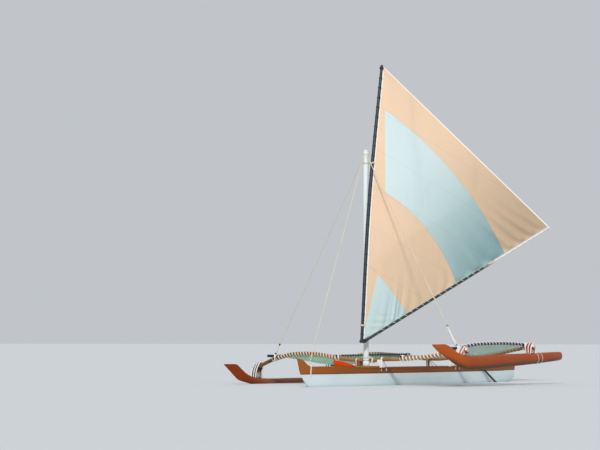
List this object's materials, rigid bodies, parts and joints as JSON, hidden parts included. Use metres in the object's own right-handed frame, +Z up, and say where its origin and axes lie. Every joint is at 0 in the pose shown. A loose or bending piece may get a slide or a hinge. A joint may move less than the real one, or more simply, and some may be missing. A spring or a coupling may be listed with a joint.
{
  "type": "sailing outrigger canoe",
  "caption": "Narrow hull with curved crossbeams, a low float on one side and a raised one on the other, nets, a mast, and a triangular sail that swings between a yard and a boom.",
  "frame": {"origin": "on the waterline, on the centreline, straight below the mast", "axes": "+X towards the bow, +Y to port, +Z up"},
  "size_m": [9.868, 6.6531, 8.573],
  "materials": {
    "hull_white": "smooth white paint, satin gloss",
    "washboard_brown": "brown-orange paint over wood",
    "prow_orange": "lighter orange-brown paint over wood",
    "guard_orange": "bright orange-red paint",
    "seat_wood": "varnished planks",
    "fitting_white": "white paint",
    "mast_white": "white paint",
    "beam_wood": "varnished golden laminated wood",
    "chock_wood": "varnished wood",
    "float_port_red": "red-brown paint, satin gloss",
    "float_starboard_red": "red-brown paint, satin gloss",
    "pole_navy": "dark navy paint",
    "net_green": "pale green knotted net",
    "rope_cream": "laid cream rope",
    "spar_dark": "dark paint over wood",
    "sail_cloth": "peach sailcloth with pale blue panels and white edges",
    "oar_wood": "dark weathered wood"
  },
  "bodies": {
    "canoe": {"hull_bow": "hull_white", "hull_stern": "hull_white", "hull_fore_port": "hull_white", "hull_fore_starboard": "hull_white", "hull_mid_port": "hull_white", "hull_mid_starboard": "hull_white", "hull_aft_port": "hull_white", "hull_aft_starboard": "hull_white", "washboard_port": "washboard_brown", "washboard_starboard": "washboard_brown", "stern_piece": "washboard_brown", "bow_piece": "prow_orange", "splash_guard": "guard_orange", "seat_1": "seat_wood", "seat_2": "seat_wood", "seat_3": "seat_wood", "seat_4": "seat_wood", "seat_5": "seat_wood", "mast_step": "seat_wood", "mast_block": "fitting_white", "mast": "mast_white", "crossbeam_forward": "beam_wood", "crossbeam_aft": "beam_wood", "saddle_forward_port": "fitting_white", "saddle_forward_starboard": "fitting_white", "saddle_aft_port": "fitting_white", "saddle_aft_starboard": "fitting_white", "float_port": "float_port_red", "float_starboard": "float_starboard_red", "chock_forward_port": "chock_wood", "chock_forward_starboard": "chock_wood", "chock_aft_port": "chock_wood", "chock_aft_starboard": "chock_wood", "outer_pole_port": "pole_navy", "outer_pole_starboard": "pole_navy", "inner_pole_port": "pole_navy", "inner_pole_starboard": "pole_navy", "net_port": "net_green", "net_starboard": "net_green", "forestay": "rope_cream", "shroud_port": "rope_cream", "shroud_starboard": "rope_cream", "lanyard_port": "rope_cream", "lanyard_starboard": "rope_cream", "bow_eye": "fitting_white", "oar_thole": "chock_wood"},
    "rig": {"yard": "spar_dark", "boom": "spar_dark", "sail": "sail_cloth", "parrel_lower": "rope_cream", "parrel_upper": "rope_cream"},
    "oar": {"steering_oar": "oar_wood"}
  },
  "joints": [
    {"name": "rig_swing", "type": "hinge", "parent": "canoe", "child": "rig", "pos_m": [0, 0, 1.5], "axis": [0, 0, 1], "range_deg": [-15, 25]},
    {"name": "oar_sweep", "type": "hinge", "parent": "canoe", "child": "oar", "pos_m": [-4.75, 0.318, 0.48], "axis": [0, 0, 1], "range_deg": [-25, 3]}
  ]
}
